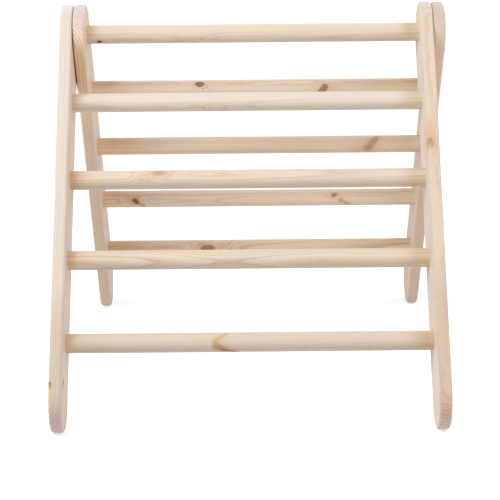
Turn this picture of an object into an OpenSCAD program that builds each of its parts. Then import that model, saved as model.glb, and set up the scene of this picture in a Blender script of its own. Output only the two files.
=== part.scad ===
// Folding climbing triangle for small children, in millimetres, Z up.
// Two equal ladder panels lean against each other and turn about the top rung.
// The panels are set one rail thickness apart sideways, so that on each side an inner
// rail of one panel turns against an outer rail of the other. A steel pin in each inner
// rail runs in an arc-shaped groove in the outer rail and stops the spread and the fold.
// The origin is on the floor, below the middle of the top rung. The front panel's feet
// are on the -Y side.

/* [Panels] */
// Clear length of the rungs between the two rails of a panel
panel_clear_w = 559.5; // [400:0.5:800]
// Lean of each panel from the vertical when the triangle stands open
tilt = 33; // [28:0.1:40]

/* [Rails] */
// Length of a rail from end to end
rail_l = 703.5; // [660:0.5:1200]
// Width of a rail, which is also the diameter of its round ends
rail_w = 96.5; // [84:0.5:110]
// Thickness of a rail
rail_t = 19.5; // [18:0.1:30]
// Radius of the rail's eased edges
rail_edge_r = 4; // [1:0.1:5]
// Space between an inner rail and the outer rail beside it
rail_gap = 0.5; // [0.4:0.1:4]

/* [Rungs] */
// Diameter of a rung
rung_d = 30; // [24:1:36]
// Number of rungs in each panel, not counting the top rung
rung_count = 4; // [2:1:4]
// Distance from the top rung to the first rung of a panel, along the rail
first_rung_at = 121; // [110:0.5:150]
// Distance between the rungs of a panel, along the rail
rung_pitch = 132.7; // [90:0.1:140]
// Depth of the blind seat that holds a rung's end in the rail
seat_depth = 12; // [8:0.5:13]
// Chamfer on a rung's ends
rung_chamfer = 1.2; // [0.4:0.1:3]

/* [Rung screws] */
// Length of a rung screw
screw_l = 50; // [30:1:80]
// Diameter of a rung screw's shank
screw_d = 5; // [4:0.5:6]
// Diameter of a rung screw's countersunk head
screw_head_d = 10; // [8:0.5:12]
// Width of the hexagon socket in a rung screw, across its corners
screw_socket_d = 4.6; // [3:0.1:6]

/* [Pivot] */
// Diameter of a pivot bolt's shank
bolt_d = 8; // [6:1:10]
// Length of a pivot bolt under its head
bolt_l = 45; // [42:1:60]
// Diameter of a pivot bolt's flat head
bolt_head_d = 20; // [15:0.5:24]
// Thickness of a pivot bolt's flat head
bolt_head_t = 2.6; // [2:0.1:5]
// Radius of the rounded rim of a pivot bolt's head
bolt_rim_r = 1.2; // [0.4:0.1:1.8]
// Width of the hexagon socket in a pivot bolt, across its corners
bolt_socket_d = 6.9; // [5:0.1:8]
// Depth of a pivot bolt's head below the outer rail's face
bolt_sink = 0.6; // [0.2:0.1:2]
// Outer diameter of the washers on the pivot bolts
washer_d = 24; // [20:1:30]
// Thickness of the washer under a pivot bolt's head
head_washer_t = 1.2; // [0.8:0.1:2]
// Outer diameter of the threaded insert in the top rung
insert_d = 12; // [11:0.5:14]
// Length of the threaded insert in the top rung
insert_l = 25; // [16:1:30]

/* [Spread stop] */
// Distance of the stop pin from the pivot axis
stop_r = 31; // [26:0.5:34]
// Diameter of the stop pin
stop_pin_d = 8; // [6:0.5:10]
// Length of the stop pin that is set in the inner rail
stop_pin_seat = 9; // [6:0.5:12]
// Chamfer on the ends of the stop pins, threaded inserts and pivot bolts
steel_chamfer = 0.8; // [0.3:0.1:1.2]
// Depth of the arc groove in the outer rail
groove_depth = 6; // [4:0.5:9]
// Space left between a rail's edge and the other panel's first rung when folded
fold_gap = 2.2; // [1:0.1:10]

/* [Fits] */
// Radial clearance of parts that turn or are pushed into each other
fit = 0.05; // [0.02:0.01:0.1]
// Free play along the pivot axis beside the parts that turn
axial_play = 0.1; // [0.05:0.05:0.2]
// Free space around the stop pin in its groove, and beyond the top rung's free end
stop_clear = 0.3; // [0.2:0.05:0.5]
// Free space around a washer in the recess for a pivot bolt's head
recess_clear = 0.8; // [0.5:0.1:2]

/* [Hidden] */
$fn = 72;
PANELS = ["front", "rear"];
SIDES = ["left", "right"];

// Lengths along the rail
axle_to_foot = rail_l - rail_w;
pivot_z = axle_to_foot * cos(tilt) + rail_w / 2;

// Places across the triangle, as distances from its middle plane
inner_rail_x = (panel_clear_w - rail_t - rail_gap) / 2;
outer_rail_x = inner_rail_x + rail_t + rail_gap;
outer_face_x = outer_rail_x + rail_t;
rung_web = rail_t - seat_depth;

// Rungs
rung_r = rung_d / 2;
rung_l = panel_clear_w + 2 * seat_depth;
rung_mid_x = (inner_rail_x - outer_rail_x) / 2;
pilot_depth = screw_l + 3;

// Screw heads lie a little below the rail's face
screw_sink = 0.2;
screw_head_h = (screw_head_d - screw_d) / 2;
screw_socket_depth = 1.8;

// Pivot hardware, placed along X from the middle plane outwards
recess_depth = axial_play + head_washer_t + bolt_head_t + bolt_sink;
head_seat_x = outer_face_x - bolt_sink - bolt_head_t;
bolt_tip_x = head_seat_x - bolt_l;
rung_end_x = inner_rail_x + seat_depth;
bolt_relief = 3;
bolt_bore_x = min(bolt_tip_x, rung_end_x - insert_l) - bolt_relief;
bolt_socket_depth = 1.6;
gap_washer_t = rail_gap - axial_play;

// The stop pin lies straight above the pivot in its own rail. Seen from the other panel's
// rail it leans by the angle between the panels, which shrinks until a rail's edge comes
// near the other panel's first rung. The travel is in whole tenths of a degree.
apex_angle = 2 * tilt;
folded_angle = asin((rail_w / 2 + rung_r + fold_gap) / first_rung_at);
fold_travel = floor(10 * (apex_angle - folded_angle)) / 10;
stop_pin_out = rail_gap + groove_depth - stop_clear;

// Cuts run this far past the faces that they open
past = 1;

PINE_RAIL = "#ead9bf";
PINE_RUNG = "#e6d0ad";
STEEL = "#b9bcc0";
NYLON = "#e6e2d6";

// ---- Placing ----

// From a panel's own frame, pivot at the origin and feet straight down, to the open triangle
module in_panel(panel) {
    rotate([0, 0, panel == "rear" ? 180 : 0])
        translate([0, 0, pivot_z])
            rotate([-tilt, 0, 0]) children();
}

// From an upright frame at the right end of the pivot axis to either end
module at_pivot(side) {
    translate([0, 0, pivot_z])
        mirror([side == "left" ? 1 : 0, 0, 0]) children();
}

// Turns a shape drawn along Z so that it lies along X
module along_x(x = 0) {
    translate([x, 0, 0]) rotate([0, 90, 0]) children();
}

// Heights of the rungs in a panel's own frame, counted from the top
function rung_z(i) = -(first_rung_at + (i - 1) * rung_pitch);

// Space between the top rung's end and the bottom of its seat
function end_gap(side) = side == "left" ? stop_clear : 0;

// ---- Rails ----

// Cross-section of a rail: width along X, thickness from y = 0 upwards
module rail_section() {
    flat = rail_w - 2 * rail_edge_r;
    translate([-flat / 2, 0]) square([flat, rail_t]);
    translate([-rail_w / 2, rail_edge_r]) square([rail_w, rail_t - 2 * rail_edge_r]);
    for (x = [-flat / 2, flat / 2])
        for (y = [rail_edge_r, rail_t - rail_edge_r])
            translate([x, y]) circle(rail_edge_r);
}

// Half a turn of the rail's section, which makes one round end
module rail_end() {
    rotate_extrude(angle = 180) intersection() {
        rail_section();
        square([rail_w, rail_t]);
    }
}

// A board with round ends and eased edges. Its inner face is at x = 0, the pivot axis is
// the X axis and the foot points down.
module rail_blank() {
    along_x() rotate([0, 0, 90]) rail_end();
    translate([0, 0, -axle_to_foot]) along_x() rotate([0, 0, -90]) rail_end();
    translate([0, 0, -axle_to_foot]) linear_extrude(axle_to_foot)
        mirror([1, 0]) rotate(90) rail_section();
}

// Blind seat for a rung's end, open at the inner face
module rung_seat() {
    along_x(-past) cylinder(h = seat_depth + past, r = rung_r + fit);
}

// Through hole for a rung screw, with the countersink in the outer face
module screw_hole() {
    sink_r = screw_d / 2 + fit;
    along_x(seat_depth - past) cylinder(h = rung_web + 2 * past, r = sink_r);
    along_x(rail_t - screw_sink - screw_head_h)
        cylinder(h = screw_head_h, r1 = sink_r, r2 = screw_head_d / 2 + fit);
    along_x(rail_t - screw_sink) cylinder(h = screw_sink + past, r = screw_head_d / 2 + fit);
}

module bolt_hole() {
    along_x(-past) cylinder(h = rail_t + 2 * past, r = bolt_d / 2 + fit);
}

// Recess in the outer face for a pivot bolt's head and its washer
module bolt_recess() {
    along_x(rail_t - recess_depth)
        cylinder(h = recess_depth + past, r = washer_d / 2 + recess_clear);
}

// What every rail needs for the rungs of its panel
module rung_joints() {
    for (i = [1:rung_count]) translate([0, 0, rung_z(i)]) {
        rung_seat();
        screw_hole();
    }
}

// Arc groove in the inner face, in which the other panel's stop pin runs. It is drawn as
// one flat shape that starts at +X: a sector of a ring, then a circle at each end.
module stop_groove() {
    half_w = stop_pin_d / 2 + stop_clear;
    far = 2 * stop_r;
    along_x() rotate([0, 0, 180 + apex_angle - fold_travel])
        translate([0, 0, -past]) linear_extrude(groove_depth + past) {
            difference() {
                circle(stop_r + half_w);
                circle(stop_r - half_w);
                translate([-far, -far]) square([2 * far, far]);
                rotate(fold_travel) translate([-far, 0]) square([2 * far, far]);
            }
            for (end = [0, fold_travel]) rotate(end) translate([stop_r, 0]) circle(half_w);
        }
}

// Hole for the stop pin in the outer face of an inner rail
module stop_pin_hole() {
    translate([0, 0, stop_r]) along_x(rail_t - stop_pin_seat)
        cylinder(h = stop_pin_seat + past, r = stop_pin_d / 2 + fit);
}

// Rail whose outer face turns against the other panel's outer rail
module inner_rail(panel) {
    color(PINE_RAIL) in_panel(panel) translate([inner_rail_x, 0, 0]) difference() {
        rail_blank();
        rung_joints();
        rung_seat();
        bolt_hole();
        stop_pin_hole();
    }
}

// Rail on the outside of the triangle, with the arc groove in its inner face
module outer_rail(panel) {
    color(PINE_RAIL) in_panel(panel) mirror([1, 0, 0]) translate([outer_rail_x, 0, 0]) difference() {
        rail_blank();
        rung_joints();
        bolt_hole();
        bolt_recess();
        stop_groove();
    }
}

module rail(panel, side) {
    if ((panel == "front") == (side == "left")) outer_rail(panel);
    else inner_rail(panel);
}

// ---- Rungs ----

// A round bar from x towards +X with chamfered ends
module bar(x, length, r, chamfer) {
    along_x(x) {
        cylinder(h = chamfer, r1 = r - chamfer, r2 = r);
        translate([0, 0, chamfer]) cylinder(h = length - 2 * chamfer, r = r);
        translate([0, 0, length - chamfer]) cylinder(h = chamfer, r1 = r, r2 = r - chamfer);
    }
}

module rung(panel, i) {
    color(PINE_RUNG) in_panel(panel) translate([rung_mid_x, 0, rung_z(i)]) difference() {
        bar(-rung_l / 2, rung_l, rung_r, rung_chamfer);
        for (side = [0, 1]) mirror([side, 0, 0])
            along_x(rung_l / 2 - pilot_depth + rung_web)
                cylinder(h = pilot_depth, r = screw_d / 2 + fit);
    }
}

// The top rung is the axle. It is held in the front panel's inner rail and turns in the
// rear panel's inner rail, where its end stands clear of the seat's bottom.
module top_rung() {
    color(PINE_RUNG) difference() {
        translate([0, 0, pivot_z])
            bar(end_gap("left") - rung_end_x, 2 * rung_end_x - end_gap("left"), rung_r, rung_chamfer);
        for (side = SIDES) at_pivot(side) {
            along_x(rung_end_x - insert_l - end_gap(side))
                cylinder(h = insert_l + past, r = insert_d / 2 + fit);
            along_x(bolt_bore_x) cylinder(h = insert_l, r = bolt_d / 2 + fit);
        }
    }
}

// ---- Hardware ----

// Countersunk screw along X, its head's top at x = 0 and its tip towards -X
module rung_screw() {
    tip = 2;
    difference() {
        union() {
            along_x(-screw_head_h)
                cylinder(h = screw_head_h, r1 = screw_d / 2, r2 = screw_head_d / 2);
            along_x(tip - screw_l) cylinder(h = screw_l - tip - screw_head_h, r = screw_d / 2);
            along_x(-screw_l) cylinder(h = tip, r1 = screw_d / 4, r2 = screw_d / 2);
        }
        along_x(-screw_socket_depth)
            cylinder(h = screw_socket_depth + past, r = screw_socket_d / 2, $fn = 6);
    }
}

// The screws that pull one rail onto its rungs
module rung_screws(panel, side) {
    is_outer = (panel == "front") == (side == "left");
    color(STEEL) in_panel(panel) mirror([is_outer ? 1 : 0, 0, 0])
        for (i = [1:rung_count])
            translate([(is_outer ? outer_rail_x : inner_rail_x) + rail_t - screw_sink, 0, rung_z(i)])
                rung_screw();
}

module pivot_bolt(side) {
    rim = [bolt_head_d / 2 - bolt_rim_r, bolt_head_t - bolt_rim_r];
    color(STEEL) at_pivot(side) difference() {
        union() {
            // The shank's far chamfer is inside the head
            bar(bolt_tip_x, bolt_l + steel_chamfer, bolt_d / 2, steel_chamfer);
            along_x(head_seat_x) rotate_extrude() {
                square([bolt_head_d / 2, rim[1]]);
                square([rim[0], bolt_head_t]);
                translate(rim) intersection() {
                    circle(bolt_rim_r);
                    square(bolt_rim_r);
                }
            }
        }
        along_x(head_seat_x + bolt_head_t - bolt_socket_depth)
            cylinder(h = bolt_socket_depth + past, r = bolt_socket_d / 2, $fn = 6);
    }
}

// A flat ring on the pivot bolt, from x towards +X
module washer(x, thickness) {
    difference() {
        along_x(x) cylinder(h = thickness, r = washer_d / 2);
        along_x(x - past) cylinder(h = thickness + 2 * past, r = bolt_d / 2 + fit);
    }
}

module head_washer(side) {
    color(STEEL) at_pivot(side) washer(head_seat_x - head_washer_t, head_washer_t);
}

// The gap washer rests on the front panel's rail and leaves the play to the rear panel's
module gap_washer(side) {
    rest_x = inner_rail_x + rail_t + (side == "left" ? axial_play : 0);
    color(NYLON) at_pivot(side) washer(rest_x, gap_washer_t);
}

module threaded_insert(side) {
    inner_x = rung_end_x - end_gap(side) - insert_l;
    color(STEEL) at_pivot(side) difference() {
        bar(inner_x, insert_l, insert_d / 2, steel_chamfer);
        along_x(inner_x - past) cylinder(h = insert_l + 2 * past, r = bolt_d / 2 + fit);
    }
}

module stop_pin(panel) {
    color(STEEL) in_panel(panel) translate([inner_rail_x + rail_t, 0, stop_r])
        bar(-stop_pin_seat, stop_pin_seat + stop_pin_out, stop_pin_d / 2, steel_chamfer);
}

// ---- The pieces, one node each ----

top_rung();
for (panel = PANELS) {
    stop_pin(panel);
    for (side = SIDES) {
        rail(panel, side);
        rung_screws(panel, side);
    }
    for (i = [1:rung_count])
        rung(panel, i);
}
for (side = SIDES) {
    pivot_bolt(side);
    head_washer(side);
    gap_washer(side);
    threaded_insert(side);
}
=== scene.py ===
import math
from functools import partial

import bpy
from mathutils import Euler, Matrix, Vector

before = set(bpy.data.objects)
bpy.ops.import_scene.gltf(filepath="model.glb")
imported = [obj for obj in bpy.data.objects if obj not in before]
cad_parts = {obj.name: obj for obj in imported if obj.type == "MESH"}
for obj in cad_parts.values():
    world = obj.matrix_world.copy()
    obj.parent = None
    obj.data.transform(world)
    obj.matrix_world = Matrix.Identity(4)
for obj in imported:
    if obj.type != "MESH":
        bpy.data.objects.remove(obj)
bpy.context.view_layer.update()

# ---------------------------------------------------------------- the frame's own sizes, metres
TILT = math.radians(33.0)      # each panel leans this far from upright
PIVOT = Vector((0.0, 0.0, 0.55732))      # middle of the top rung, on which the panels fold
FIRST_RUNG = 0.121             # along a rail, from the pivot to the first rung
RUNG_PITCH = 0.1327
RUNG_R_MM = 15.0
RAIL_HALF_W = 0.04825
RAIL_MID = 0.3035              # along a rail, from the pivot to the middle of its straight part
INNER_RAIL_X = 0.27950         # middle of the thickness of the inner pair of rails
OUTER_RAIL_X = 0.29950
INNER_FACE_X = 0.26975         # the faces of the same rails that look inwards, where rungs go in
OUTER_FACE_X = 0.28975
MM = 0.001

TO_RIGHT = Vector((1.0, 0.0, 0.0))
TO_BACK = Vector((0.0, 1.0, 0.0))


# ---------------------------------------------------------------- camera
IMAGE = 500.0                  # the photograph is square
FOCAL_PX = 1629.0
CENTRE_PX = (245.5, 213.0)
SENSOR_MM = 36.0
CAMERA_PLACE = (-0.0170, -2.6496, 0.8945)
CAMERA_DOWN = 0.23646          # radians below level
CAMERA_TURN = 0.0010
CAMERA_ROLL = 0.0090
SIGHT = 60.0                   # metres that the camera sees


def set_camera():
    """Camera at the photograph's place, aim and lens."""
    data = bpy.data.cameras.new("camera")
    data.sensor_width = SENSOR_MM
    data.lens = FOCAL_PX / IMAGE * data.sensor_width
    data.shift_x = (IMAGE / 2 - CENTRE_PX[0]) / IMAGE
    data.shift_y = (CENTRE_PX[1] - IMAGE / 2) / IMAGE
    data.clip_end = SIGHT
    camera = bpy.data.objects.new("camera", data)
    aim = Euler((math.pi / 2 - CAMERA_DOWN, 0.0, -CAMERA_TURN)).to_matrix()
    aim = aim @ Matrix.Rotation(-CAMERA_ROLL, 3, "Z")
    camera.rotation_euler = aim.to_euler()
    camera.location = CAMERA_PLACE
    bpy.context.scene.collection.objects.link(camera)
    bpy.context.scene.camera = camera


# ---------------------------------------------------------------- colours
def shade(red, green, blue):
    """A colour written as it looks on a screen, 0 to 255, for a shader's socket."""
    linear = []
    for level in (red, green, blue):
        level = level / 255.0
        if level <= 0.04045:
            linear.append(level / 12.92)
        else:
            linear.append(((level + 0.055) / 1.055) ** 2.4)
    return (*linear, 1.0)


EARLY_STRAW = shade(228, 214, 189)     # the pale wood of spring
EARLY_PINK = shade(228, 211, 199)
LATE_STRAW = shade(206, 170, 126)      # the darker lines of autumn
LATE_PINK = shade(206, 168, 144)
RESIN = shade(186, 145, 104)
END_GRAIN = shade(226, 208, 197)
END_RING = shade(152, 119, 98)
KNOT_WOOD = shade(184, 118, 78)
KNOT_RIM = shade(118, 66, 42)
KNOT_CORE = shade(78, 46, 34)
KNOT_HALO = shade(218, 178, 138)
WHITE = (1.0, 1.0, 1.0, 1.0)
# Painted shade: the dark brown that stands in for the shade in the gap between the paired rails
GAP_SHADE_TONE = (0.58, 0.32, 0.17, 1.0)       # tone of the wood where the paired rails lie close together
STEEL_DULL = shade(158, 157, 152)
STEEL_BRIGHT = shade(190, 188, 182)
NYLON_DULL = shade(226, 222, 210)
NYLON_BRIGHT = shade(238, 235, 226)
FLOOR_GREY = (0.70, 0.70, 0.70, 1.0)


# ---------------------------------------------------------------- node helpers
NOISE_MIDDLE = 0.5

# Places of the Mix node's sockets for colours
MIX_FACTOR = 0
MIX_FIRST = 6
MIX_SECOND = 7
MIX_RESULT = 2


class Bench:
    """Adds and joins the nodes of one material, or of the room's light."""

    def __init__(self, owner, output="ShaderNodeOutputMaterial"):
        owner.use_nodes = True
        self.owner = owner
        self.output = output
        self.tree = owner.node_tree
        self.tree.nodes.clear()

    def add(self, kind, **settings):
        """A new node with its settings."""
        node = self.tree.nodes.new(kind)
        for key, value in settings.items():
            setattr(node, key, value)
        return node

    def put(self, socket, value):
        """A number, a colour or another node's output, into a socket."""
        if isinstance(value, bpy.types.NodeSocket):
            self.tree.links.new(value, socket)
        else:
            socket.default_value = value

    def math(self, operation, first, second=0.0, third=0.0, clamp=False):
        """Arithmetic with up to three numbers."""
        node = self.add("ShaderNodeMath", operation=operation, use_clamp=clamp)
        for socket, value in zip(node.inputs, (first, second, third)):
            self.put(socket, value)
        return node.outputs["Value"]

    def bell(self, value, sharp=1.0):
        """1 where a value is 0, and down to 0 on both sides of it."""
        squared = self.math("MULTIPLY", value, value)
        return self.math("EXPONENT", self.math("MULTIPLY", squared, -sharp))

    def vector(self, operation, first, second=(0.0, 0.0, 0.0), scale=None):
        """Arithmetic with vectors, which gives a vector, a dot product or a length."""
        node = self.add("ShaderNodeVectorMath", operation=operation)
        self.put(node.inputs[0], first)
        self.put(node.inputs[1], second)
        if scale is not None:
            self.put(node.inputs["Scale"], scale)
        if operation in ("DOT_PRODUCT", "LENGTH"):
            return node.outputs["Value"]
        return node.outputs["Vector"]

    def mix(self, factor, first, second, way="MIX"):
        """The first colour where the factor is 0, and the second where it is 1."""
        node = self.add("ShaderNodeMix", data_type="RGBA", blend_type=way)
        self.put(node.inputs[MIX_FACTOR], factor)
        self.put(node.inputs[MIX_FIRST], first)
        self.put(node.inputs[MIX_SECOND], second)
        return node.outputs[MIX_RESULT]

    def toned(self, colour, tone):
        """A colour times a tone or a level."""
        return self.mix(1.0, colour, tone, "MULTIPLY")

    def blend_range(self, value, low, high, to_low=0.0, to_high=1.0):
        """Smooth step of a value from low to high."""
        node = self.add("ShaderNodeMapRange", interpolation_type="SMOOTHSTEP")
        for socket, number in zip(node.inputs, (value, low, high, to_low, to_high)):
            self.put(socket, number)
        return node.outputs["Result"]

    def noise(self, place, pattern, log=0.0, colour=False):
        """A pattern's noise at a place. Each log has its own start in the noise."""
        spread = self.vector("MULTIPLY", place, [1.0 / size for size in pattern["cells"]])
        node = self.add("ShaderNodeTexNoise", noise_dimensions="4D")
        self.put(node.inputs["Vector"], spread)
        node.inputs["W"].default_value = log + pattern["start"]
        node.inputs["Scale"].default_value = 1.0
        node.inputs["Detail"].default_value = pattern["detail"]
        node.inputs["Roughness"].default_value = pattern["rough"]
        return node.outputs["Color" if colour else "Fac"]

    def shift(self, place, pattern, log, reach):
        """A pattern's noise as a step in space, as far as reach to each side."""
        step = self.noise(place, pattern, log, colour=True)
        step = self.vector("SUBTRACT", step, [NOISE_MIDDLE] * 3)
        return self.vector("MULTIPLY", step, reach)

    def ramp(self, value, stops):
        """Colour ramp from (place, level) stops, for a number."""
        node = self.add("ShaderNodeValToRGB")
        self.put(node.inputs["Fac"], value)
        points = node.color_ramp.elements
        while len(points) < len(stops):
            points.new(0.5)
        for point, (place, level) in zip(points, stops):
            point.position = place
            point.color = (level, level, level, 1.0)
        return node.outputs["Color"]

    def bump(self, height, strength, distance):
        """A normal for a fine relief, with its depth in metres."""
        node = self.add("ShaderNodeBump")
        node.inputs["Strength"].default_value = strength
        node.inputs["Distance"].default_value = distance
        self.put(node.inputs["Height"], height)
        return node.outputs["Normal"]

    def surface(self, colour, roughness, normal=None):
        """The shader of a solid surface."""
        shader = self.add("ShaderNodeBsdfPrincipled")
        self.put(shader.inputs["Base Color"], colour)
        self.put(shader.inputs["Roughness"], roughness)
        if normal is not None:
            self.put(shader.inputs["Normal"], normal)
        return shader

    def finish(self, shader):
        """Joins the last shader to the output, and returns the material or the world."""
        output = self.add(self.output)
        self.tree.links.new(shader.outputs[0], output.inputs["Surface"])
        return self.owner


# ---------------------------------------------------------------- pine
# The log's patterns.
# cells: their size in mm, along the grain and across it. detail and rough: how finely they break up.
# start: where each begins in the noise, so that no two are alike.
WANDER = dict(cells=(170.0, 70.0, 70.0), detail=1.0, rough=0.4, start=0.0)    # the heart's slow wander
RIPPLE = dict(cells=(26.0, 8.0, 8.0), detail=2.0, rough=0.5, start=1.0)       # small waves in the rings
BROAD = dict(cells=(120.0, 11.0, 11.0), detail=2.0, rough=0.5, start=2.0)     # broad tones, pink to straw
STREAK = dict(cells=(80.0, 2.4, 2.4), detail=3.0, rough=0.6, start=3.0)       # streaks of stronger lines
FIBRE = dict(cells=(9.0, 0.32, 0.32), detail=3.0, rough=0.6, start=4.0)
CANAL = dict(cells=(10.0, 0.5, 0.5), detail=1.0, rough=0.5, start=5.0)        # resin canals
MOTTLE = dict(cells=(6.0, 1.7, 1.7), detail=2.0, rough=0.6, start=6.0)        # clouds on the end grain
RAGGED = dict(cells=(5.0, 2.5, 2.5), detail=2.0, rough=0.6, start=7.0)        # ragged outlines of knots

# One year of the log, from spring to the end of autumn, and how dark its wood is
YEAR = ((0.0, 0.35), (0.07, 0.05), (0.45, 0.10), (0.78, 0.50), (0.93, 1.0), (1.0, 0.35))
YEAR_DRIFT = 0.37                  # how soon wide years follow narrow ones

BROAD_RANGE = (0.34, 0.66)         # from a pattern's low to its high side
STREAK_RANGE = (0.3, 0.7)
CANAL_RANGE = (0.66, 0.74)
LINE_STRENGTH = (0.45, 0.95)       # of the autumn lines, in weak and in strong streaks
CANAL_STRENGTH = 0.35
DARKEST_LEVEL = 0.88               # of the wood, before its fibres and streaks lighten it
FIBRE_TONE = 0.12
STREAK_TONE = 0.12

# End grain: how square to the grain a face is where it starts and where it is full
SQUARE_RANGE = (0.12, 0.8)
END_COVER = 0.55                   # how much of the end grain's own colour shows
END_LATE_RANGE = (0.06, 0.75)      # which part of the year is its dark line
MOTTLE_TONE = 0.3
CAP_TO_FOOT = (-100.0, 100.0)      # mm from a board's middle: its cap is above this, and its foot is below

# How squarely a face looks across its board where it is one of the narrow edges
NARROW_EDGE = (0.45, 0.8)

# Stronger autumn lines where a rung goes into its rails: where they start and where they are full, in metres
# from the rail, and how strong they are there
END_LINES_REACH = (0.045, 0.008)
END_LINES = 0.4

# Painted shade where the other panel's rail lies close: how far it reaches, in metres past that rail's edge
# and down from the pivot, and how squarely a face looks at that rail where it is shaded
GAP_SHADE_PAST_EDGE = 0.004
GAP_SHADE_DOWN = (0.0, 0.04)
GAP_SHADE_FACE = (0.4, 0.8)

# Sanded surface
PINE_ROUGH = 0.46
FIBRE_ROUGH = 0.14
LATE_ROUGH = -0.06
FIBRE_RIDGE = 0.8
LATE_RIDGE = 0.5
PINE_BUMP = 0.25
PINE_BUMP_DEPTH = 0.00025
PINE_SHINE = 0.3
PINE_SHEEN = 0.22

# A branch leaves the heart this far below its knot, as a part of the way out to it
BRANCH_RISE = 0.35
BRANCH_START = 1.0                 # mm past its root's radius, where it is whole
BRANCH_LEAST_R = 0.05              # mm
HALO_FALL = 0.32                   # how fast the warm wood round a knot ends
RIM_RANGE = (0.74, 0.98)           # the rim, as a part of the knot's radius
CORE_RANGE = (0.6, 0.1)            # the core too, from its outside to its middle
KNOT_RINGS = 11.0                  # radians of the rings' wave from the knot's middle to its outline

# A knot, where its entry says nothing else. Sizes are in mm, strengths from 0 to 1.
PLAIN_KNOT = dict(
    root=None,       # where the branch starts; it starts at the log's heart where none is given
    root_r=0.3,      # its radius there; r is its radius at the tip
    blunt=False,     # a branch whose two ends are round
    long=1.0,        # how many times longer the knot is along the grain
    ragged=0.5,      # how far its outline wanders, as a part of r
    push=2.0,        # how far it pushes the rings aside, in ring widths
    sweep=2.4,       # how many times longer than wide that push is
    glow=0.5,        # strength of the warm wood round it
    dark=1.0,        # strength of its own wood
    soft=0.18,       # half the width of its outline, as a part of its radius
    rim=0.8,         # strength of its dark rim
    rings=0.45,      # strength of its own rings
    core=0.0,        # strength of a dark core
    outline=0.0,     # strength of a thin line round it
    line=0.1,        # half the width of that line, as a part of its radius
    wood=KNOT_WOOD,
)

# Tone of the end grain at a board's cap and at its foot, and how strong the ring lines are on each
PLAIN_ENDS = dict(cap=(1.0, 1.0, 1.0), foot=(1.0, 1.0, 1.0), lines=(0.4, 0.4))

# How a piece is cut from its log, where its entry in STICKS or BOARDS says nothing else
PLAIN_CUT = dict(
    wander=5.0,      # how far the heart wanders, in mm
    ripple=1.1,      # how far the rings ripple, in mm
    uneven=2.0,      # how much wide and narrow years differ
    swells=(),       # rises of the rings, as (place along the piece, height, length) in mm
    spread=0.5,      # how far its warmth varies
    ends=PLAIN_ENDS,
    faces={},        # rung ends that differ from the panel's others
    knots=(),
)


class Timber:
    """How one piece was cut from its log.

    along and across are the piece's own directions, and heart is how far the log's heart lies from its
    middle, in mm across it and in mm the third way. cut is its entry in STICKS or BOARDS, with PLAIN_CUT
    for what that doesn't say, and log is its start in the noise.
    """

    def __init__(self, middle, along, across, heart, cut, log):
        third = along.cross(across)
        lean = cut["lean"]
        axis = (along + across * lean[0] + third * lean[1]).normalized()
        side = (across - axis * across.dot(axis)).normalized()
        self.directions = Matrix((axis, side, axis.cross(side))).transposed()
        self.heart = middle + across * heart[0] * MM + third * heart[1] * MM
        self.axis = axis
        self.across = across
        self.cut = cut
        self.log = log

    def from_heart(self, point):
        """A point of the climbing frame, in millimetres along the heart and out from it."""
        return self.directions.transposed() @ (point - self.heart) / MM


def in_log(bench, point, timber):
    """The surface's points, in millimetres along the heart and out from it."""
    mapping = bench.add("ShaderNodeMapping", vector_type="TEXTURE")
    bench.put(mapping.inputs["Vector"], point)
    mapping.inputs["Location"].default_value = timber.heart
    mapping.inputs["Rotation"].default_value = timber.directions.to_euler()
    mapping.inputs["Scale"].default_value = (MM, MM, MM)
    return mapping.outputs["Vector"]


def grow_branch(bench, place, timber, knot):
    """One branch: how near a point is to its axis, whether inside it, and how it sweeps the grain."""
    tip = timber.from_heart(knot["tip"])
    if knot["root"] is None:
        root = Vector((tip.x - BRANCH_RISE * math.hypot(tip.y, tip.z), 0.0, 0.0))
    else:
        root = timber.from_heart(knot["root"])
    tip_r = knot["r"]
    root_r = knot["root_r"]
    reach = (tip - root).length
    branch = (tip - root) / reach

    offset = bench.vector("SUBTRACT", place, root)
    along = bench.vector("DOT_PRODUCT", offset, branch)
    if knot["blunt"]:
        along = bench.math("MINIMUM", bench.math("MAXIMUM", along, 0.0), reach)
        live = 1.0
    else:
        live = bench.blend_range(along, -root_r / 2, root_r + BRANCH_START)
        if knot["root"] is not None:
            live = bench.math("MULTIPLY", live, bench.blend_range(along, reach + tip_r, reach - tip_r))

    aside = bench.vector("SUBTRACT", offset, bench.vector("SCALE", branch, scale=along))
    uneven = knot["ragged"] * tip_r
    aside = bench.vector("ADD", aside, bench.shift(place, RAGGED, timber.log, (uneven, uneven, uneven)))
    aside = bench.vector("MULTIPLY", aside, (1.0 / knot["long"], 1.0, 1.0))
    width = bench.math("MULTIPLY_ADD", along, (tip_r - root_r) / reach, root_r)
    width = bench.math("MAXIMUM", width, BRANCH_LEAST_R)
    near = bench.math("DIVIDE", bench.vector("LENGTH", aside), width)

    swept = bench.vector("MULTIPLY", aside, (1.0 / knot["sweep"], 1.0, 1.0))
    halo = bench.bell(bench.math("DIVIDE", bench.vector("LENGTH", swept), width), HALO_FALL)
    inside = bench.blend_range(near, 1.0 + knot["soft"], 1.0 - knot["soft"])
    return dict(
        knot=knot,
        near=near,
        halo=bench.math("MULTIPLY", halo, live),
        inside=bench.math("MULTIPLY", inside, live),
        rim=bench.blend_range(near, *RIM_RANGE, 0.0, knot["rim"]),
    )


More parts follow.
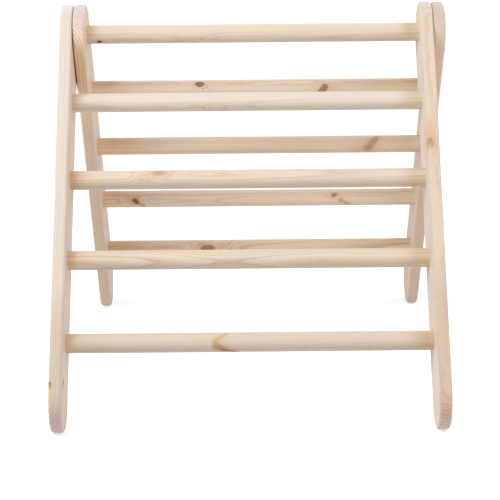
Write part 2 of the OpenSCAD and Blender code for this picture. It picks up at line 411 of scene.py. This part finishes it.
def draw_knot(bench, colour, branch):
    """One knot over the wood's colour: a warm halo, rings of its own, a dark rim and perhaps a dark core."""
    knot = branch["knot"]
    near = branch["near"]
    colour = bench.mix(bench.math("MULTIPLY", branch["halo"], knot["glow"]), colour, KNOT_HALO)
    if knot["outline"]:
        line = bench.bell(bench.math("DIVIDE", bench.math("SUBTRACT", near, 1.0), knot["line"]))
        colour = bench.mix(bench.math("MULTIPLY", line, knot["outline"]), colour, LATE_STRAW)
    rings = bench.math("SINE", bench.math("MULTIPLY", near, KNOT_RINGS))
    rings = bench.blend_range(rings, -1.0, 1.0, 0.0, knot["rings"])
    wood = bench.mix(bench.math("MAXIMUM", rings, branch["rim"]), knot["wood"], KNOT_RIM)
    if knot["core"]:
        wood = bench.mix(bench.blend_range(near, *CORE_RANGE, 0.0, knot["core"]), wood, KNOT_CORE)
    return bench.mix(bench.math("MULTIPLY", branch["inside"], knot["dark"]), colour, wood)


def yearly_rings(bench, place, length, timber, branches):
    """How late in its year each point grew: 0 for pale spring wood, 1 for the dark autumn line."""
    cut = timber.cut
    wander = bench.shift(place, WANDER, timber.log, (0.0, cut["wander"], cut["wander"]))
    ripple = bench.shift(place, RIPPLE, timber.log, (0.0, cut["ripple"], cut["ripple"]))
    bent = bench.vector("ADD", bench.vector("ADD", place, wander), ripple)
    radius = bench.vector("LENGTH", bench.vector("MULTIPLY", bent, (0.0, 1.0, 1.0)))
    for middle, rise, width in cut["swells"]:
        swell = bench.bell(bench.math("DIVIDE", bench.math("SUBTRACT", length, middle), width))
        radius = bench.math("SUBTRACT", radius, bench.math("MULTIPLY", swell, rise))
    for branch in branches:
        push = bench.math("MULTIPLY", branch["halo"], branch["knot"]["push"] * cut["ring"])
        radius = bench.math("SUBTRACT", radius, push)

    years = bench.math("DIVIDE", radius, cut["ring"])
    drift = bench.add("ShaderNodeTexNoise", noise_dimensions="1D")
    bench.put(drift.inputs["W"], bench.math("MULTIPLY_ADD", years, YEAR_DRIFT, timber.log))
    drift.inputs["Scale"].default_value = 1.0
    drift.inputs["Detail"].default_value = 1.0
    years = bench.math("MULTIPLY_ADD", drift.outputs["Fac"], cut["uneven"], years)
    return bench.ramp(bench.math("FRACT", years), YEAR)


def spring_and_autumn(bench, place, timber, late, streak):
    """Pale wood and darker lines, both from pink to straw, with specks of resin."""
    cut = timber.cut
    broad = bench.noise(place, BROAD, timber.log)
    warmth = cut["warmth"]
    hue = bench.blend_range(broad, *BROAD_RANGE, warmth - cut["spread"], warmth + cut["spread"])
    early = bench.mix(hue, EARLY_PINK, EARLY_STRAW)
    line = bench.mix(hue, LATE_PINK, LATE_STRAW)
    weak, strong = LINE_STRENGTH
    strength = bench.blend_range(streak, *STREAK_RANGE, weak * cut["contrast"], strong * cut["contrast"])
    colour = bench.mix(bench.math("MULTIPLY", late, strength), early, line)
    resin = bench.blend_range(bench.noise(place, CANAL, timber.log), *CANAL_RANGE, 0.0, CANAL_STRENGTH)
    return bench.mix(resin, colour, RESIN)


def cut_across(bench, colour, square, length, late, ends):
    """End grain: a pale ground with the rings as thin darker lines."""
    colour = bench.mix(bench.math("MULTIPLY", square, END_COVER), colour, END_GRAIN)
    strength = bench.blend_range(length, *CAP_TO_FOOT, *ends["lines"])
    lines = bench.math("MULTIPLY", square, bench.blend_range(late, *END_LATE_RANGE))
    return bench.mix(bench.math("MULTIPLY", lines, strength), colour, END_RING)


def rung_end_lines_and_painted_light(bench, colour, point, late, faces):
    """Stronger autumn lines where a rung goes into its rails, and painted light and shade on its ends there.
    """
    x = bench.vector("DOT_PRODUCT", point, TO_RIGHT)
    from_left = bench.math("SUBTRACT", x, faces["left_x"])
    from_right = bench.math("SUBTRACT", faces["right_x"], x)
    warm = bench.blend_range(bench.math("MINIMUM", from_left, from_right), *END_LINES_REACH)
    lines = bench.math("MULTIPLY", bench.math("MULTIPLY", late, warm), END_LINES)
    colour = bench.mix(lines, colour, LATE_STRAW)
    for distance, end in ((from_left, faces["left"]), (from_right, faces["right"])):
        tone = bench.mix(bench.blend_range(distance, *end["far_reach"]), WHITE, (*end["far"], 1.0))
        tone = bench.mix(bench.blend_range(distance, *end["near_reach"]), tone, (*end["near"], 1.0))
        colour = bench.toned(colour, tone)
    return colour


def narrow_edge_tone_and_painted_light(bench, colour, normal, length, timber):
    """A narrow edge's tone in a board's top and foot half: partly the wood's own, partly painted light and
    shade.
    """
    edge = timber.cut["edge"]
    facing = bench.math("ABSOLUTE", bench.vector("DOT_PRODUCT", normal, timber.across))
    facing = bench.blend_range(facing, *NARROW_EDGE)
    lower = bench.blend_range(length, *edge["turn"])
    tone = bench.mix(lower, (*edge["top"], 1.0), (*edge["foot"], 1.0))
    return bench.toned(colour, bench.mix(facing, WHITE, tone))


def paint_gap_shade(bench, colour, point, normal, partner):
    """Painted shade: a brown tone on a rail where the other panel's rail lies close, for the shade in the
    gap.
    """
    offset = bench.vector("SUBTRACT", point, PIVOT)
    aside = bench.math("ABSOLUTE", bench.vector("DOT_PRODUCT", offset, partner["across"]))
    under = bench.blend_range(aside, RAIL_HALF_W + GAP_SHADE_PAST_EDGE, RAIL_HALF_W)
    below = bench.blend_range(bench.vector("DOT_PRODUCT", offset, partner["down"]), *GAP_SHADE_DOWN)
    under = bench.math("MULTIPLY", under, below)
    towards = bench.vector("DOT_PRODUCT", normal, TO_RIGHT * partner["side"])
    under = bench.math("MULTIPLY", under, bench.blend_range(towards, *GAP_SHADE_FACE))
    return bench.toned(colour, bench.mix(under, WHITE, GAP_SHADE_TONE))


def pine(name, timber, knots, faces=None, partner=None):
    """Sanded pine: yearly rings about the heart, fibres, resin canals, knots and darker end grain."""
    bench = Bench(bpy.data.materials.new(name))
    coordinates = bench.add("ShaderNodeTexCoord")
    point = coordinates.outputs["Object"]
    normal = coordinates.outputs["Normal"]
    place = in_log(bench, point, timber)
    length = bench.vector("DOT_PRODUCT", place, (1.0, 0.0, 0.0))
    branches = [grow_branch(bench, place, timber, knot) for knot in knots]
    late = yearly_rings(bench, place, length, timber, branches)
    streak = bench.noise(place, STREAK, timber.log)
    fibre = bench.noise(place, FIBRE, timber.log)
    ends = timber.cut["ends"]
    square = bench.vector("DOT_PRODUCT", normal, timber.axis)
    square = bench.blend_range(bench.math("ABSOLUTE", square), *SQUARE_RANGE)

    colour = spring_and_autumn(bench, place, timber, late, streak)
    colour = cut_across(bench, colour, square, length, late, ends)
    mottle = bench.math("SUBTRACT", bench.noise(place, MOTTLE, timber.log), NOISE_MIDDLE)
    mottle = bench.math("MULTIPLY", mottle, bench.math("MULTIPLY", square, MOTTLE_TONE))
    level = bench.math("MULTIPLY_ADD", fibre, FIBRE_TONE, DARKEST_LEVEL)
    level = bench.math("MULTIPLY_ADD", streak, STREAK_TONE, level)
    colour = bench.toned(colour, bench.math("ADD", level, mottle))
    colour = bench.toned(colour, (*timber.cut["tint"], 1.0))
    tone = bench.mix(bench.blend_range(length, *CAP_TO_FOOT), (*ends["cap"], 1.0), (*ends["foot"], 1.0))
    colour = bench.toned(colour, bench.mix(square, WHITE, tone))
    # painted light and shade on the rung's ends, and stronger autumn lines there
    if faces is not None:
        colour = rung_end_lines_and_painted_light(bench, colour, point, late, faces)
    # the narrow edges' tones: partly the wood's own, partly painted light and shade
    if "edge" in timber.cut:
        colour = narrow_edge_tone_and_painted_light(bench, colour, normal, length, timber)
    for branch in branches:
        colour = draw_knot(bench, colour, branch)
    # painted shade in the gap between the paired rails
    if partner is not None:
        colour = paint_gap_shade(bench, colour, point, normal, partner)

    roughness = bench.math("MULTIPLY_ADD", fibre, FIBRE_ROUGH, PINE_ROUGH)
    roughness = bench.math("MULTIPLY_ADD", late, LATE_ROUGH, roughness)
    height = bench.math("MULTIPLY_ADD", late, LATE_RIDGE, bench.math("MULTIPLY", fibre, FIBRE_RIDGE))
    shader = bench.surface(colour, roughness, bench.bump(height, PINE_BUMP, PINE_BUMP_DEPTH))
    shader.inputs["Specular IOR Level"].default_value = PINE_SHINE
    shader.inputs["Sheen Weight"].default_value = PINE_SHEEN
    return bench.finish(shader)


def dress(node, material):
    """A CAD node takes a material in all its slots."""
    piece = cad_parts[node]
    for slot in piece.material_slots:
        slot.material = material


# ---------------------------------------------------------------- where the pieces are
def down_rail(panel):
    """Direction down a panel's rails, from the pivot."""
    side = -1.0 if panel == "front" else 1.0
    return Vector((0.0, side * math.sin(TILT), -math.cos(TILT)))


def rung_middle(panel, number):
    """Middle of a rung: number 0 is the top rung."""
    if number == 0:
        return PIVOT
    return PIVOT + down_rail(panel) * (FIRST_RUNG + RUNG_PITCH * (number - 1))


def on_rung(panel, number, x, turn, out=RUNG_R_MM):
    """Point beside a rung's middle line: x and out in mm, turn in degrees up from the side to the front."""
    turn = math.radians(turn)
    aside = Vector((0.0, -math.cos(turn), math.sin(turn))) * out * MM
    return rung_middle(panel, number) + aside + TO_RIGHT * x * MM


def rail_middle(panel, side):
    """Middle of a rail's straight part."""
    inner = (panel == "front") == (side == "right")
    x = INNER_RAIL_X if inner else OUTER_RAIL_X
    if side == "left":
        x = -x
    return PIVOT + TO_RIGHT * x + down_rail(panel) * RAIL_MID


def across_rail(panel):
    """Direction across a panel's rails, towards their front edges."""
    return down_rail(panel).cross(TO_RIGHT)


def on_rail(panel, x, down, forward):
    """Point of a rail: x, distance down from the pivot and distance towards its front edge, in mm."""
    return PIVOT + TO_RIGHT * x * MM + down_rail(panel) * down * MM + across_rail(panel) * forward * MM


def place_knots(knots, place):
    """Knots with their ends as points of the climbing frame, and PLAIN_KNOT for what they don't say."""
    placed = []
    for knot in knots:
        knot = dict(PLAIN_KNOT, **knot)
        for end in ("root", "tip"):
            if knot[end] is not None:
                knot[end] = place(*knot[end])
        placed.append(knot)
    return placed


# ---------------------------------------------------------------- the rungs
# Painted light and shade on a rung towards its rails, for their shadow and the warm light bounced off them.
# near: its tone at the rail. far: its tone a little further along.
# Each reach is where that tone starts and where it is full, in metres from the rail.
FRONT_LEFT_END_PAINTED_LIGHT = dict(
    near=(1.12, 1.005, 0.92), near_reach=(0.016, 0.005), far=(1.08, 1.07, 1.05), far_reach=(0.042, 0.016),
)
FRONT_RIGHT_END_PAINTED_LIGHT = dict(
    near=(1.045, 1.02, 0.91), near_reach=(0.036, 0.014), far=(1.045, 1.03, 1.01), far_reach=(0.080, 0.030),
)
REAR_LEFT_END_PAINTED_LIGHT = dict(
    near=(1.12, 1.03, 0.935), near_reach=(0.026, 0.006), far=(1.04, 0.955, 0.89), far_reach=(0.095, 0.045),
)
REAR_RIGHT_END_PAINTED_LIGHT = dict(
    near=(1.055, 1.07, 1.04), near_reach=(0.022, 0.006), far=(1.03, 1.02, 0.99), far_reach=(0.060, 0.025),
)
# The ends of three rungs with painted light and shade of their own
GOLDEN_END_PAINTED_LIGHT = dict(
    near=(1.05, 1.06, 1.02), near_reach=(0.020, 0.006), far=(0.93, 0.89, 0.80), far_reach=(0.140, 0.050),
)
AMBER_LEFT_END_PAINTED_LIGHT = dict(
    near=(1.05, 0.89, 0.73), near_reach=(0.020, 0.008), far=(1.06, 1.0, 0.90), far_reach=(0.090, 0.016),
)
AMBER_RIGHT_END_PAINTED_LIGHT = dict(
    near=(0.99, 0.97, 0.90), near_reach=(0.020, 0.006), far=(0.98, 0.95, 0.84), far_reach=(0.060, 0.025),
)

# Where a panel's rungs go into its rails, and the painted light and shade on their ends there
RUNG_FACES = {
    "top": dict(left_x=-INNER_FACE_X, right_x=INNER_FACE_X, left=FRONT_LEFT_END_PAINTED_LIGHT, right=FRONT_RIGHT_END_PAINTED_LIGHT),
    "front": dict(left_x=-OUTER_FACE_X, right_x=INNER_FACE_X, left=FRONT_LEFT_END_PAINTED_LIGHT, right=FRONT_RIGHT_END_PAINTED_LIGHT),
    "rear": dict(left_x=-INNER_FACE_X, right_x=OUTER_FACE_X, left=REAR_LEFT_END_PAINTED_LIGHT, right=REAR_RIGHT_END_PAINTED_LIGHT),
}

# One stick of pine for each rung.
# heart: how far the log's heart is from the stick's middle, in mm, and its turn in degrees, as for on_rung.
# lean: how the heart leans away from the stick. ring: width of a year, in mm.
# warmth: from 0, pink, to 1, straw. contrast: strength of the autumn lines.
# tint: what its colour is multiplied by. The rear rungs' lighter tints are partly painted light, for the
# light that the rear panel gets less of.
# Knots: places as (x in mm, turn in degrees), and how far out in mm where that isn't the rung's surface.
STICKS = {
    ("top", 0): dict(
        heart=(46.0, 150.0), lean=(0.006, 0.010), ring=2.6, warmth=0.55, contrast=0.6,
        tint=(0.995, 0.998, 0.998),
        swells=((-100.0, 2.6, 34.0),),
        knots=(
            dict(
                tip=(-249.0, -44), r=2.9, long=1.5, dark=1.0, push=1.2, rim=1.0, core=1.0,
                wood=KNOT_CORE,
            ),
        ),
    ),
    ("front", 1): dict(
        heart=(44.0, 165.0), lean=(0.004, 0.003), ring=3.4, warmth=0.4, contrast=0.5,
        tint=(1.022, 1.060, 1.128),
        knots=(
            dict(
                tip=(-64.0, -28), r=7.0, long=4.4, dark=0.0, glow=0.15, push=1.0, sweep=3.0,
                outline=0.6, ragged=0.7,
            ),
        ),
    ),
    ("front", 2): dict(
        heart=(34.0, 225.0), lean=(-0.008, 0.008), ring=2.4, warmth=0.5, contrast=0.75,
        tint=(0.996, 1.000, 1.014),
        faces=dict(left=AMBER_LEFT_END_PAINTED_LIGHT),
        knots=(
            dict(
                tip=(-151.0, 58), r=5.0, long=2.8, dark=0.5, glow=0.6, push=2.0, soft=0.5, rim=0.2,
                wood=shade(204, 146, 116),
            ),
            dict(
                tip=(-173.0, 27), r=4.0, long=2.0, dark=0.0, glow=0.3, push=2.2, sweep=1.8, outline=0.5,
                ragged=1.2,
            ),
            dict(
                tip=(-172.0, 22), r=1.8, long=1.6, dark=0.0, glow=0.0, push=0.0, outline=0.5,
                ragged=1.4,
            ),
        ),
    ),
    ("front", 3): dict(
        heart=(36.0, 178.0), lean=(0.0, 0.0), ring=3.2, warmth=0.65, contrast=1.1,
        tint=(1.011, 1.018, 1.053), wander=2.0,
        swells=((-44.0, 7.0, 110.0), (230.0, 3.9, 150.0)),
    ),
    ("front", 4): dict(
        heart=(44.0, 95.0), lean=(0.004, 0.006), ring=2.4, warmth=0.3, contrast=0.55,
        tint=(0.955, 0.938, 0.950),
        knots=(
            dict(
                root=(-67.0, 4, 15.5), tip=(-28.0, -60, 16.5), r=2.6, root_r=5.4, dark=0.7, glow=0.8,
                push=1.5, soft=0.85, rim=0.15, ragged=1.3, rings=0.4, wood=shade(198, 138, 96),
            ),
            dict(
                root=(-56.0, -26, 15.2), tip=(-26.0, -62, 15.8), r=1.6, root_r=1.8, dark=0.85, glow=0.0,
                push=0.0, soft=0.7, rim=0.3, ragged=0.9, wood=shade(164, 96, 60),
            ),
            dict(
                root=(-66.0, 12, 15.5), tip=(-44.0, 76, 16.5), r=1.8, root_r=3.0, dark=0.4, glow=0.7,
                push=1.0, soft=0.9, rim=0.1, ragged=1.5, rings=0.3, wood=shade(206, 158, 118),
            ),
            dict(
                tip=(266.0, -4), r=2.6, long=9.0, dark=0.0, glow=0.25, push=2.4, sweep=6.0, outline=0.3,
                line=0.4, ragged=1.4,
            ),
        ),
    ),
    # The rear rungs' tints are partly painted light, for the light that the rear panel gets less of
    ("rear", 1): dict(
        heart=(34.0, 228.0), lean=(0.006, 0.004), ring=2.2, warmth=0.35, contrast=0.8,
        tint=(1.230, 1.245, 1.250),
        faces=dict(right=GOLDEN_END_PAINTED_LIGHT),
        knots=(
            dict(
                tip=(-89.5, 42), r=5.0, long=1.5, dark=1.0, glow=0.4, rim=1.0,
                wood=shade(196, 138, 104), rings=0.75, ragged=0.7,
            ),
            dict(
                tip=(-84.0, 12), r=1.2, long=2.6, dark=0.5, glow=0.0, push=0.0, rim=0.2,
                wood=shade(206, 146, 120),
            ),
            dict(
                root=(120.5, 14, 15.5), tip=(111.5, -34, 15.8), r=5.4, root_r=5.4, dark=0.9, glow=0.5,
                rim=0.9, rings=0.9, soft=0.25, ragged=0.7, wood=shade(222, 162, 108), blunt=True,
            ),
        ),
    ),
    ("rear", 2): dict(
        heart=(46.0, -82.0), lean=(0.002, 0.002), ring=2.5, warmth=0.45, contrast=1.5,
        tint=(1.168, 1.166, 1.143),
        knots=(
            dict(
                root=(199.0, -18, 16.0), tip=(215.0, 56, 16.5), r=3.4, root_r=7.2, dark=0.62, glow=0.7,
                push=1.2, soft=0.6, rim=0.2, ragged=1.3, rings=0.6, wood=shade(212, 150, 104),
                blunt=True,
            ),
            dict(
                root=(186.0, -52, 15.0), tip=(160.0, -58, 15.0), r=0.8, root_r=1.2, dark=0.6, glow=0.2,
                push=0.0, soft=0.5, rim=0.2, wood=shade(176, 118, 84),
            ),
        ),
    ),
    ("rear", 3): dict(
        heart=(36.0, 176.0), lean=(0.004, -0.003), ring=2.4, warmth=0.45, contrast=0.8,
        tint=(1.152, 1.115, 1.083),
        knots=(
            dict(
                root=(-212.5, 2, 15.5), tip=(-208.5, -14, 15.5), r=4.0, root_r=4.4, dark=1.0, glow=0.6,
                push=1.8, soft=0.4, rim=0.4, ragged=0.9, wood=shade(166, 98, 58), rings=0.4, blunt=True,
            ),
            dict(
                root=(-206.0, -20, 15.5), tip=(-194.0, -56, 15.5), r=1.6, root_r=3.4, dark=0.45,
                glow=0.6, push=0.6, soft=0.6, rim=0.1, wood=shade(196, 134, 92),
            ),
            dict(
                root=(143.5, 24, 15.0), tip=(147.5, 34, 15.0), r=2.9, root_r=3.3, dark=0.8, glow=0.5,
                soft=0.65, rim=0.1, ragged=1.2, rings=0.3, wood=shade(176, 112, 70), blunt=True,
            ),
            dict(
                root=(152.0, 0, 15.5), tip=(182.0, -66, 16.5), r=1.6, root_r=2.4, dark=0.42, glow=0.8,
                push=0.8, soft=0.9, rim=0.1, ragged=1.8, wood=shade(206, 152, 110),
            ),
        ),
    ),
    ("rear", 4): dict(
        heart=(34.0, 192.0), lean=(0.012, 0.012), ring=2.8, warmth=0.65, contrast=1.2,
        tint=(1.128, 1.068, 1.008),
        faces=dict(right=AMBER_RIGHT_END_PAINTED_LIGHT),
        knots=(
            dict(
                tip=(-86.0, 9), r=6.8, long=2.15, dark=0.9, glow=0.5, push=2.5, rim=0.6, rings=0.4,
                soft=0.3, ragged=0.8, wood=shade(184, 120, 80),
            ),
            dict(
                tip=(-56.0, 40), r=2.6, long=2.0, dark=0.0, glow=0.2, push=1.5, outline=0.6, ragged=0.9,
            ),
        ),
    ),
}

# Each piece has a log of its own, which is where its patterns start in the noise
FIRST_STICK_LOG = 3.0
STICK_LOG_STEP = 11.0
FIRST_BOARD_LOG = 131.0
BOARD_LOG_STEP = 13.0


def finish_rungs():
    """Each rung is its own stick of pine, with its own knots."""
    for index, ((panel, number), entry) in enumerate(STICKS.items()):
        cut = dict(PLAIN_CUT, **entry)
        far, turn = cut["heart"]
        turn = math.radians(turn)
        heart = (-far * math.cos(turn), far * math.sin(turn))
        log = FIRST_STICK_LOG + STICK_LOG_STEP * index
        timber = Timber(rung_middle(panel, number), TO_RIGHT, TO_BACK, heart, cut, log)
        knots = place_knots(cut["knots"], partial(on_rung, panel, number))
        faces = dict(RUNG_FACES[panel], **cut["faces"])
        node = "top_rung" if panel == "top" else f"{panel}_rung_{number}"
        dress(node, pine("pine_" + node, timber, knots, faces=faces))


# ---------------------------------------------------------------- the rails
# One board of pine for each rail, with the words of the sticks.
# heart: mm towards the front edge and towards the left, from the board's middle.
# ends: tones of the end grain. edge: tones of the narrow edges in the top and the foot half, which are
# partly the wood's own and partly painted light and shade, and where the one turns to the other, in mm down
# from the board's middle.
# Knots: places as (x, distance down the rail from the pivot, distance towards its front edge) in mm.
BOARDS = {
    ("front", "left"): dict(
        heart=(50.0, 26.0), lean=(0.004, 0.004), ring=3.0, warmth=0.65, tint=(0.963, 0.957, 1.017),
        uneven=0.6, contrast=1.25, spread=0.3, wander=3.0,
        ends=dict(cap=(1.03, 1.08, 1.19), foot=(1.10, 1.06, 1.13), lines=(0.2, 0.8)),
        edge=dict(top=(1.02, 1.09, 1.20), foot=(0.91, 0.93, 0.88), turn=(120.0, 215.0)),
        knots=(
            dict(
                root=(-283.0, 582, 16), tip=(-308.5, 596, 46.5), r=4.2, root_r=3.4, long=1.7, dark=1.0,
                glow=0.8, push=2.5, sweep=3.4, rim=0.3, core=1.0, rings=0.5, ragged=0.9,
                wood=shade(86, 74, 54),
            ),
        ),
    ),
    ("front", "right"): dict(
        heart=(-62.0, 12.0), lean=(0.004, -0.006), ring=3.4, warmth=0.45, tint=(0.964, 0.982, 1.028),
        contrast=0.6, spread=0.3, ripple=2.6,
        ends=dict(cap=(0.93, 0.95, 0.95), foot=(1.01, 0.95, 0.87), lines=(0.2, 0.32)),
        edge=dict(top=(1.0, 0.965, 0.91), foot=(0.925, 0.81, 0.735), turn=(60.0, 180.0)),
        knots=(
            dict(
                root=(285.0, 210, 10), tip=(277.0, 219, 48), r=8.6, root_r=5.6, long=2.3, dark=0.6,
                glow=0.6, push=1.2, soft=0.5, rim=0.35, rings=0.3, ragged=0.9,
                wood=shade(222, 174, 132),
            ),
            dict(
                root=(283.0, 207, 10), tip=(274.5, 215, 48), r=4.6, root_r=3.0, long=2.0, dark=0.9,
                glow=0.5, push=0.8, soft=0.45, core=0.3, rim=0.7, rings=0.8, ragged=1.3,
                wood=shade(204, 134, 80),
            ),
            dict(
                root=(276.0, 458, 20), tip=(269.0, 461, 28), r=3.0, root_r=2.0, dark=0.6, glow=0.4,
                push=0.5,
            ),
        ),
    ),
    ("rear", "left"): dict(
        heart=(84.0, 54.0), lean=(0.004, 0.004), ring=4.4, warmth=0.5, tint=(0.960, 0.903, 0.905),
        uneven=0.3, contrast=0.9, spread=0.4, wander=1.0,
        ends=dict(cap=(0.98, 1.06, 1.15), foot=(1.0, 1.0, 1.0), lines=(0.36, 0.36)),
        edge=dict(top=(1.22, 1.16, 1.0), foot=(1.02, 1.04, 1.02), turn=(-175.0, -105.0)),
    ),
    ("rear", "right"): dict(
        heart=(-50.0, 40.0), lean=(-0.004, 0.004), ring=2.4, warmth=0.4, tint=(0.974, 0.900, 0.846),
        contrast=0.6, spread=0.3,
        ends=dict(cap=(0.90, 0.95, 1.02), foot=(1.0, 1.0, 1.0), lines=(0.2, 0.2)),
        edge=dict(top=(1.10, 1.07, 1.01), foot=(1.02, 0.99, 0.96), turn=(-150.0, 0.0)),
    ),
}


def left_partner(panel):
    """The other panel's left rail: down and across it, and on which side of this panel's rail it lies."""
    if panel == "front":
        return dict(down=down_rail("rear"), across=across_rail("rear"), side=1.0)
    return dict(down=down_rail("front"), across=across_rail("front"), side=-1.0)


def finish_rails():
    """Each rail is its own board of pine. The two at the left get painted shade where they lie close
    together.
    """
    for index, ((panel, side), entry) in enumerate(BOARDS.items()):
        cut = dict(PLAIN_CUT, **entry)
        middle = rail_middle(panel, side)
        log = FIRST_BOARD_LOG + BOARD_LOG_STEP * index
        timber = Timber(middle, down_rail(panel), across_rail(panel), cut["heart"], cut, log)
        knots = place_knots(cut["knots"], partial(on_rail, panel))
        partner = left_partner(panel) if side == "left" else None
        node = f"{panel}_{side}_rail"
        dress(node, pine("pine_" + node, timber, knots, partner=partner))


# ---------------------------------------------------------------- metal and nylon
# Patterns as the log's are, with cells in metres
BLOTCH = dict(cells=(0.004, 0.004, 0.004), detail=3.0, rough=0.6, start=2.0)
GRIT = dict(cells=(0.00025, 0.00025, 0.00025), detail=2.0, rough=0.6, start=5.0)
CLOUD = dict(cells=(0.003, 0.003, 0.003), detail=2.0, rough=0.5, start=4.0)

STEEL_ROUGH = 0.2
BLOTCH_ROUGH = 0.22
STEEL_BUMP = 0.12
STEEL_BUMP_DEPTH = 0.0001
NYLON_ROUGH = 0.38
CLOUD_ROUGH = 0.16

STEEL_PIECES = ("screws", "bolt", "head_washer", "insert", "pin")


def zinc_steel():
    """Zinc-plated steel: soft blotches and a fine grit."""
    bench = Bench(bpy.data.materials.new("zinc_steel"))
    point = bench.add("ShaderNodeTexCoord").outputs["Object"]
    blotch = bench.noise(point, BLOTCH)
    colour = bench.mix(blotch, STEEL_DULL, STEEL_BRIGHT)
    roughness = bench.math("MULTIPLY_ADD", blotch, BLOTCH_ROUGH, STEEL_ROUGH)
    normal = bench.bump(bench.noise(point, GRIT), STEEL_BUMP, STEEL_BUMP_DEPTH)
    shader = bench.surface(colour, roughness, normal)
    shader.inputs["Metallic"].default_value = 1.0
    return bench.finish(shader)


def natural_nylon():
    """Natural nylon of the washers between the paired rails."""
    bench = Bench(bpy.data.materials.new("natural_nylon"))
    point = bench.add("ShaderNodeTexCoord").outputs["Object"]
    cloud = bench.noise(point, CLOUD)
    colour = bench.mix(cloud, NYLON_DULL, NYLON_BRIGHT)
    roughness = bench.math("MULTIPLY_ADD", cloud, CLOUD_ROUGH, NYLON_ROUGH)
    return bench.finish(bench.surface(colour, roughness))


def finish_hardware():
    """Steel for the bolts, screws, inserts and stop pins, and nylon for the gap washers."""
    steel = zinc_steel()
    nylon = natural_nylon()
    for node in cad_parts:
        if "gap_washer" in node:
            dress(node, nylon)
        elif any(word in node for word in STEEL_PIECES):
            dress(node, steel)


# ---------------------------------------------------------------- studio
FLOOR_HALF = 14.0
FLOOR_FADE = (0.6, 4.5)        # metres from the object's middle, between which the floor turns white
FLOOR_GLOW = (0.58, 1.0)       # how bright the floor is seen at those two
ROOM_LIGHT = 0.10
SEEN_LIGHT = 1.0

# Soft boxes round the object: turn from the camera's side and height above level, in degrees, as seen from
# LIT_POINT, then size in metres and power in watts.
SOFT_BOXES = {
    "left_low": (-70.0, 12.0, 1.2, 16.6),
    "left_high": (-45.0, 48.0, 1.8, 53.5),
    "right_low": (55.0, 12.0, 1.4, 16.5),
    "right_high": (60.0, 42.0, 1.4, 22.7),
    "behind_left": (-130.0, 35.0, 1.2, 14.5),
    "behind_right": (130.0, 35.0, 1.2, 27.0),
}
SOFT_BOX_AWAY = 2.8
LIT_POINT = Vector((0.0, 0.0, 0.3))


def seen_as_white(bench):
    """1 where the studio is seen, by itself or in a reflection, and 0 for the light that it throws."""
    path = bench.add("ShaderNodeLightPath")
    seen = bench.math("ADD", path.outputs["Is Camera Ray"], path.outputs["Is Glossy Ray"])
    return bench.math("ADD", seen, path.outputs["Is Transmission Ray"], clamp=True)


def floor_material():
    """Pale floor that the camera sees as white, but for the object's shadow."""
    bench = Bench(bpy.data.materials.new("studio_floor"))
    matt = bench.add("ShaderNodeBsdfDiffuse")
    matt.inputs["Color"].default_value = FLOOR_GREY
    point = bench.add("ShaderNodeTexCoord").outputs["Object"]
    level = bench.blend_range(bench.vector("LENGTH", point), *FLOOR_FADE, *FLOOR_GLOW)
    glow = bench.add("ShaderNodeEmission")
    glow.inputs["Color"].default_value = WHITE
    bench.put(glow.inputs["Strength"], bench.math("MULTIPLY", seen_as_white(bench), level))
    both = bench.add("ShaderNodeAddShader")
    bench.put(both.inputs[0], matt.outputs[0])
    bench.put(both.inputs[1], glow.outputs[0])
    return bench.finish(both)


def lay_floor():
    """The studio's floor, at the level of the feet."""
    bpy.ops.object.select_all(action="DESELECT")
    bpy.ops.mesh.primitive_plane_add(size=2 * FLOOR_HALF, location=(0.0, 0.0, 0.0))
    floor = bpy.context.active_object
    floor.name = "studio_floor"
    floor.data.materials.append(floor_material())


def hang_soft_box(name, place, size, watts):
    """A square lamp, turned towards the object."""
    data = bpy.data.lights.new(name, "AREA")
    data.shape = "SQUARE"
    data.size = size
    data.energy = watts
    lamp = bpy.data.objects.new(name, data)
    lamp.location = place
    lamp.rotation_euler = (LIT_POINT - place).to_track_quat("-Z", "Y").to_euler()
    lamp.visible_camera = False
    bpy.context.scene.collection.objects.link(lamp)


def light_room():
    """A faint even room that is seen as white."""
    world = bpy.data.worlds.new("white_room")
    bpy.context.scene.world = world
    bench = Bench(world, "ShaderNodeOutputWorld")
    room = bench.add("ShaderNodeBackground")
    room.inputs["Color"].default_value = WHITE
    room.inputs["Strength"].default_value = ROOM_LIGHT
    backdrop = bench.add("ShaderNodeBackground")
    backdrop.inputs["Color"].default_value = WHITE
    backdrop.inputs["Strength"].default_value = SEEN_LIGHT
    both = bench.add("ShaderNodeMixShader")
    bench.put(both.inputs[0], seen_as_white(bench))
    bench.put(both.inputs[1], room.outputs[0])
    bench.put(both.inputs[2], backdrop.outputs[0])
    bench.finish(both)


def light_studio():
    """Six soft boxes and the room round them."""
    for name, (turn, height, size, watts) in SOFT_BOXES.items():
        turn = math.radians(turn)
        height = math.radians(height)
        way = Vector((
            math.sin(turn) * math.cos(height),
            -math.cos(turn) * math.cos(height),
            math.sin(height),
        ))
        hang_soft_box("soft_box_" + name, LIT_POINT + way * SOFT_BOX_AWAY, size, watts)
    light_room()


set_camera()
finish_rungs()
finish_rails()
finish_hardware()
lay_floor()
light_studio()
bpy.context.scene.view_settings.view_transform = "Standard"
